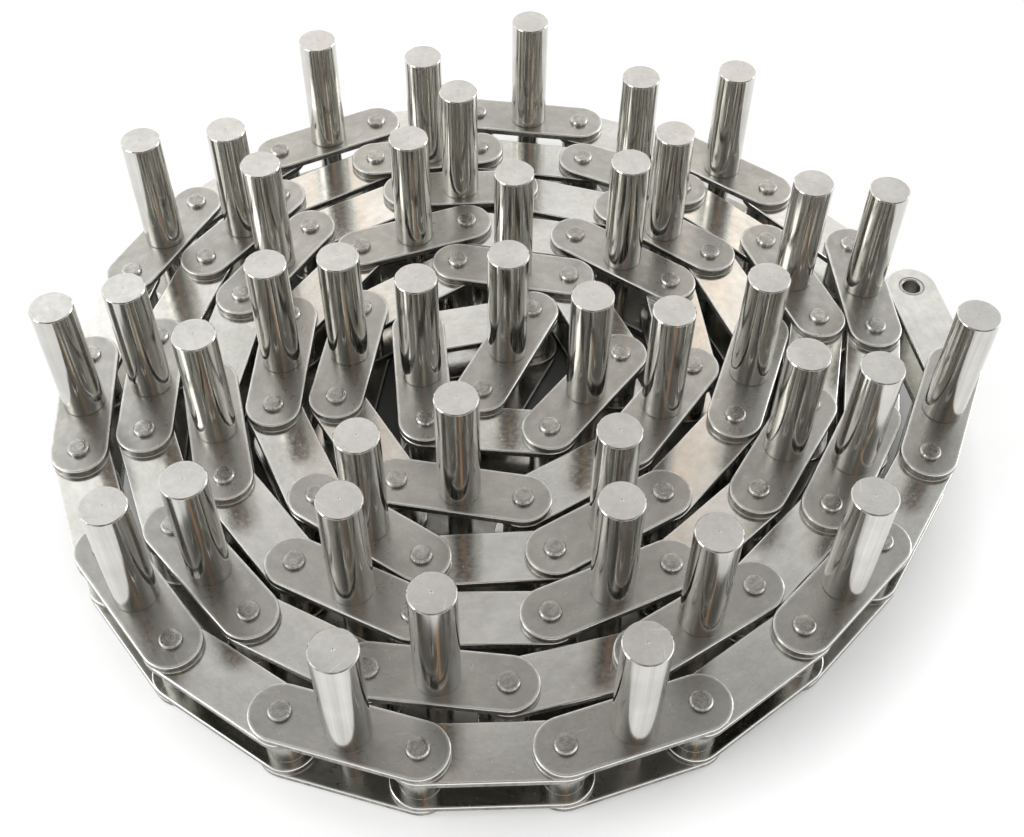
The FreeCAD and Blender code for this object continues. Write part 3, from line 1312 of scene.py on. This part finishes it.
    def build(self, groups: Groups) -> None:
        """Makes a finished piece for every node, on the node's own body.

        Args:
            groups: The shared shader node groups by name.
        """
        outer_plate = self.plate(Kind.OUTER_PLATE)
        surfaces = {
            Kind.OUTER_PLATE: outer_plate.surface(),
            Kind.INNER_PLATE: self.plate(Kind.INNER_PLATE).surface(),
            Kind.PIN: self.pin(),
            Kind.STUD: self.stud(),
            Kind.BUSH: self.bush(),
            Kind.ROLLER: self.roller(),
        }
        materials = self.dress(groups, outer_plate)
        body_of = {
            node: body for body, members in frame["record"]["behaviour"]["bodies"].items() for node in members
        }
        for node, kind in self.kinds.items():
            piece = spread_out(f"finished_{node}", surfaces[kind], self.placements(node), materials[kind])
            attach(piece, body_of[node])
            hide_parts(node)
            count = len(self.solids[node].low)
            log.info("%s: %d solids, %d faces", piece.name, count, len(piece.data.polygons))


def added(name: str, data: bpy.types.ID) -> bpy.types.Object:
    """Adds an object to the scene.

    Args:
        name: Name of the object.
        data: Its mesh, lamp or camera.

    Returns:
        The new object, at the origin.
    """
    made = bpy.data.objects.new(name, data)
    bpy.context.scene.collection.objects.link(made)
    return made


def spread_out(
    name: str, surface: Surface, placements: np.ndarray, materials: Sequence[bpy.types.Material],
) -> bpy.types.Object:
    """Repeats a surface at every placement, as one mesh.

    Every copy is turned about Z and moved. Its points keep their place on the piece, and a number
    between 0 and 1 that is the same all over one copy, so that no two copies have the same marks.

    Args:
        name: Name of the new object.
        surface: The surface about its own origin.
        placements: X, Y, Z and turn of each copy.
        materials: Materials by the number of the finish.

    Returns:
        The new object, at the origin.
    """
    copies, size = len(placements), len(surface.points)
    cosine, sine = np.cos(placements[:, 3]), np.sin(placements[:, 3])
    turn = np.zeros((copies, 3, 3))
    turn[:, 0, 0], turn[:, 0, 1] = cosine, -sine
    turn[:, 1, 0], turn[:, 1, 1] = sine, cosine
    turn[:, 2, 2] = 1.0
    points = np.einsum("nij,pj->npi", turn, surface.points) + placements[:, None, :3]
    normals = np.einsum("nij,fcj->nfci", turn, surface.normals)[:, surface.kept].reshape(-1, 3)
    first = (np.arange(copies) * size)[:, None]
    corners = (surface.corners[surface.kept] + first).reshape(-1)
    sides = np.tile(surface.kept.sum(axis=1), copies)
    mesh = bpy.data.meshes.new(name)
    mesh.vertices.add(copies * size)
    mesh.vertices.foreach_set("co", points.reshape(-1).astype(np.float32))
    mesh.loops.add(len(corners))
    mesh.loops.foreach_set("vertex_index", corners.astype(np.int32))
    mesh.polygons.add(len(sides))
    mesh.polygons.foreach_set("loop_start", (np.cumsum(sides) - sides).astype(np.int32))
    for material in materials:
        mesh.materials.append(material)
    mesh.polygons.foreach_set("material_index", np.tile(surface.finish, copies).astype(np.int32))
    mesh.update(calc_edges=True)
    mesh.validate()
    place = mesh.attributes.new("own_place", "FLOAT_VECTOR", "POINT")
    place.data.foreach_set("vector", np.tile(surface.points, (copies, 1)).reshape(-1).astype(np.float32))
    across, along, stir = SEED_STEPS
    seeds = np.modf(np.abs(np.sin(placements[:, 0] * across + placements[:, 1] * along)) * stir)[0]
    seed = mesh.attributes.new("own_seed", "FLOAT", "POINT")
    seed.data.foreach_set("value", np.repeat(seeds, size).astype(np.float32))
    mesh.shade_smooth()
    mesh.normals_split_custom_set(normals.astype(np.float32))
    return added(name, mesh)


def grey(level: float) -> tuple[float, float, float, float]:
    """A colour that has one level in red, green and blue."""
    return level, level, level, 1.0


class Lamp(NamedTuple):
    """A soft oblong lamp that looks at the coil's middle."""

    name: str
    place: tuple[float, float, float]
    size: tuple[float, float]
    power: float


@dataclass(frozen=True)
class Studio:
    """White table, soft lamps, room light and the camera.

    The table's fades run over the distance from the coil's middle, and paint shade on it: a darker
    table under the coil and less glow near it. The room's fades run over the parts of a direction
    of length one: across from left to right, along from the camera to the back, and the rise.
    """

    floor_half: float = 4.0
    floor_colour: float = 0.85
    floor_glow: float = 0.52
    # Painted shadow on the table: a darker colour under the coil, and the glow fading out near it
    painted_shadow_level: float = 0.3
    painted_shadow_fade: Fade = Fade(0.085, 0.112)
    glow_fade_painted_shade: Fade = Fade(0.112, 0.150)
    room_light: float = 0.52
    grey_top: Fade = Fade(0.68, 0.94, 1.0, 0.41)
    ceiling_panel: Fade = Fade(0.972, 0.99, 0.0, 0.85)
    camera_side: Fade = Fade(-0.45, 0.05, 1.0, 0.0)
    above_table: Fade = Fade(0.25, 0.5)
    camera_side_dimming: float = 0.78
    right_wall: Fade = Fade(0.0, 0.4, 1.0, 1.12)
    left_wall: Fade = Fade(-0.30, -0.18, 0.6, 0.0)
    low_band_rise: float = 0.1
    low_band: Fade = Fade(0.0, 0.2, 1.7, 1.0)
    panel_scale: float = 3.2
    panel_light: Fade = Fade(0.4, 0.6, 0.66, 1.2)
    window_slopes: tuple[float, float] = (0.197, -0.172)
    window_half: Fade = Fade(0.03, 0.085, 1.0, 0.0)
    window_top: Fade = Fade(0.70, 0.80, 1.0, 0.0)
    window_light: float = 1.5
    back_from: float = 0.2
    line_half: Fade = Fade(0.004, 0.015, 1.0, 0.0)
    line_colour: Colour = (1.2, 0.76, 0.46)
    warm_slope: float = -0.3
    warm_half: Fade = Fade(0.03, 0.07, 1.0, 0.0)
    warm_to: float = -0.2
    warm_colour: Colour = (0.75, 0.42, 0.24)
    lamps: tuple[Lamp, ...] = (
        Lamp("lamp_right", (1.5, 0.9, 0.9), (0.7, 0.7), 6.5),
        Lamp("lamp_left", (-1.15, -0.35, 0.85), (0.6, 0.8), 4.5),
    )
    camera_place: tuple[float, float, float] = (-0.003216, -0.283018, 0.351550)
    camera_tilt: float = 51.0999
    camera_roll: float = 0.7184
    camera_lens: float = 48.134
    camera_sensor: float = 36.0
    camera_reach: tuple[float, float] = (0.01, 50.0)

    def floor(self) -> None:
        """Lays a white table top that keeps the chain's shadow and looks white where nothing shades it; a painted
        shadow darkens its colour under the coil and fades its glow near it.
        """
        mesh = bpy.data.meshes.new("table_top")
        half = self.floor_half
        corners = [(-half, -half, 0), (half, -half, 0), (half, half, 0), (-half, half, 0)]
        mesh.from_pydata(corners, [], [(0, 1, 2, 3)])
        made = added("table_top", mesh)
        material = bpy.data.materials.new("white_table_top")
        material.use_nodes = True
        wiring = Wiring(material.node_tree)
        across, along, _ = wiring.parts(wiring.node("ShaderNodeTexCoord").outputs["Object"])
        reach = wiring.distance(across, along)
        # Painted shadow: the table's colour is darker under the coil, and its glow fades out near it
        outside_painted_shadow = wiring.spread(reach, *self.painted_shadow_fade)
        colour = wiring.blend(outside_painted_shadow, grey(self.painted_shadow_level), grey(self.floor_colour))
        glow = wiring.times(self.seen(wiring), wiring.spread(reach, *self.glow_fade_painted_shade), self.floor_glow)
        paper = wiring.feed_all(wiring.node("ShaderNodeBsdfDiffuse"), colour)
        light = wiring.node("ShaderNodeEmission")
        wiring.feed(light.inputs["Strength"], glow)
        both = wiring.feed_all(wiring.node("ShaderNodeAddShader"), paper.outputs[0], light.outputs[0])
        wiring.feed_all(wiring.node("ShaderNodeOutputMaterial"), both.outputs[0])
        mesh.materials.append(material)

    def seen(self, wiring: Wiring) -> Socket:
        """Tells what is seen, straight or in a reflection or through glass, from what only lights.

        Args:
            wiring: The material's or the room's wiring.

        Returns:
            One for what is seen, and otherwise nothing.
        """
        rays = wiring.node("ShaderNodeLightPath").outputs
        direct = wiring.math("MAXIMUM", rays["Is Camera Ray"], rays["Is Glossy Ray"])
        return wiring.math("MAXIMUM", direct, rays["Is Transmission Ray"])

    def room(self) -> None:
        """Lights the room: plain for matt surfaces, uneven walls for gloss, and white for the camera."""
        world = bpy.data.worlds.new("studio_room")
        bpy.context.scene.world = world
        world.use_nodes = True
        world.cycles.sampling_method = "NONE"
        wiring = Wiring(world.node_tree)
        way = wiring.node("ShaderNodeTexCoord").outputs["Generated"]
        across, along, rise = wiring.parts(way)
        high = wiring.spread(rise, *self.above_table)
        brightness = self.walls(wiring, across, along, rise, high)
        panels = wiring.spread(wiring.noise(way, self.panel_scale, detail=1.0), *self.panel_light)
        walls = self.windows(wiring, across, along, rise, wiring.times(brightness, panels))
        near = wiring.times(wiring.math("LESS_THAN", along, self.warm_to), high)
        facing = self.upright(wiring, across, along, self.warm_slope, self.warm_half)
        walls = wiring.blend(wiring.times(facing, near), walls, (*self.warm_colour, 1.0))
        lit = wiring.blend(self.seen(wiring), grey(self.room_light), walls)
        direct = wiring.node("ShaderNodeLightPath").outputs["Is Camera Ray"]
        light = wiring.feed_all(wiring.node("ShaderNodeBackground"), wiring.blend(direct, lit, grey(1.0)))
        wiring.feed_all(wiring.node("ShaderNodeOutputWorld"), light.outputs[0])

    def walls(self, wiring: Wiring, across: Socket, along: Socket, rise: Socket, high: Socket) -> Socket:
        """Works out how bright the walls are.

        They are grey towards the top, where the front plates look, with a panel in the ceiling. The
        side that the camera stands on is dim, the left wall is brighter, and a pale band runs low
        down all round.

        Args:
            wiring: The room's wiring.
            across: How far a direction goes to the right.
            along: How far it goes to the back.
            rise: How far it goes up.
            high: One well above the table, and nothing near its height.

        Returns:
            The brightness.
        """
        panel = wiring.spread(rise, *self.ceiling_panel)
        top = wiring.math("MAXIMUM", wiring.spread(rise, *self.grey_top), panel)
        dim = wiring.times(wiring.spread(along, *self.camera_side), high, self.camera_side_dimming)
        left = wiring.times(wiring.spread(across, *self.left_wall), high)
        off_band = wiring.math("ABSOLUTE", wiring.math("SUBTRACT", rise, self.low_band_rise))
        return wiring.times(
            top,
            wiring.math("SUBTRACT", 1.0, dim),
            wiring.spread(across, *self.right_wall),
            wiring.math("ADD", 1.0, left),
            wiring.spread(off_band, *self.low_band),
        )

    def windows(
        self, wiring: Wiring, across: Socket, along: Socket, rise: Socket, brightness: Socket,
    ) -> Socket:
        """Puts two pale windows in the walls behind the chain, each with a narrow warm line in it.

        Args:
            wiring: The room's wiring.
            across: How far a direction goes to the right.
            along: How far it goes to the back.
            rise: How far it goes up.
            brightness: Brightness of the walls.

        Returns:
            The walls' colour.
        """
        back = wiring.math("GREATER_THAN", along, self.back_from)
        pale, warm = 0.0, 0.0
        for slope in self.window_slopes:
            pale = wiring.math("MAXIMUM", pale, self.upright(wiring, across, along, slope, self.window_half))
            warm = wiring.math("MAXIMUM", warm, self.upright(wiring, across, along, slope, self.line_half))
        pale = wiring.times(pale, back, wiring.spread(rise, *self.window_top))
        brightness = wiring.times(brightness, wiring.spread(pale, 0.0, 1.0, 1.0, self.window_light))
        tint = wiring.blend(wiring.times(warm, back), grey(1.0), (*self.line_colour, 1.0))
        return wiring.scaled(tint, brightness)

    def upright(self, wiring: Wiring, across: Socket, along: Socket, slope: float, half: Fade) -> Socket:
        """Marks an upright strip on the walls, one in its middle and nothing outside it.

        Args:
            wiring: The room's wiring.
            across: How far a direction goes to the right.
            along: How far it goes to the back.
            slope: How far the strip's middle goes to the right for each step along.
            half: How it fades on each side of its middle.

        Returns:
            The strip.
        """
        off = wiring.math("SUBTRACT", across, wiring.times(along, slope))
        return wiring.spread(wiring.math("ABSOLUTE", off), *half)

    def light(self, lamp: Lamp) -> None:
        """Hangs one lamp.

        Args:
            lamp: The lamp.
        """
        data = bpy.data.lights.new(lamp.name, "AREA")
        data.shape = "RECTANGLE"
        data.size, data.size_y = lamp.size
        data.energy = lamp.power
        made = added(lamp.name, data)
        made.location = lamp.place
        made.rotation_euler = (-Vector(lamp.place)).to_track_quat("-Z", "Y").to_euler()

    def camera(self) -> None:
        """Sets up the camera: it looks along +Y, tilted down and rolled a little."""
        tilt, roll = math.radians(self.camera_tilt), math.radians(self.camera_roll)
        ahead = Vector((0, math.cos(tilt), -math.sin(tilt)))
        over = Vector((0, math.sin(tilt), math.cos(tilt)))
        side = Vector((1, 0, 0))
        right = math.cos(roll) * side + math.sin(roll) * over
        up = math.cos(roll) * over - math.sin(roll) * side
        data = bpy.data.cameras.new("photo_camera")
        data.sensor_width = self.camera_sensor
        data.lens = self.camera_lens
        data.clip_start, data.clip_end = self.camera_reach
        made = added("photo_camera", data)
        turn = Matrix((right, up, -ahead)).transposed()
        made.matrix_world = Matrix.Translation(self.camera_place) @ turn.to_4x4()
        bpy.context.scene.camera = made

    def build(self) -> None:
        """Sets up the table, the room, the lamps and the camera."""
        bpy.context.scene.view_settings.view_transform = "Standard"
        self.floor()
        self.room()
        for lamp in self.lamps:
            self.light(lamp)
        self.camera()
        log.info("studio: table, room light, %d lamps and the camera", len(self.lamps))


def main() -> None:
    """Builds the chain's finished pieces and the studio."""
    logging.basicConfig(level=logging.INFO, format="%(message)s")
    groups = {
        "steel_marks": make_steel_marks(),
        "rim_wear": make_rim_wear(),
        "seat_shadow_grime_lines": make_seat_shadow_grime_lines(),
        "turned_marks": make_turned_marks(),
        "scratches": make_scratches(),
    }
    Chain().build(groups)
    Studio().build()


if __name__ == "__main__":
    main()
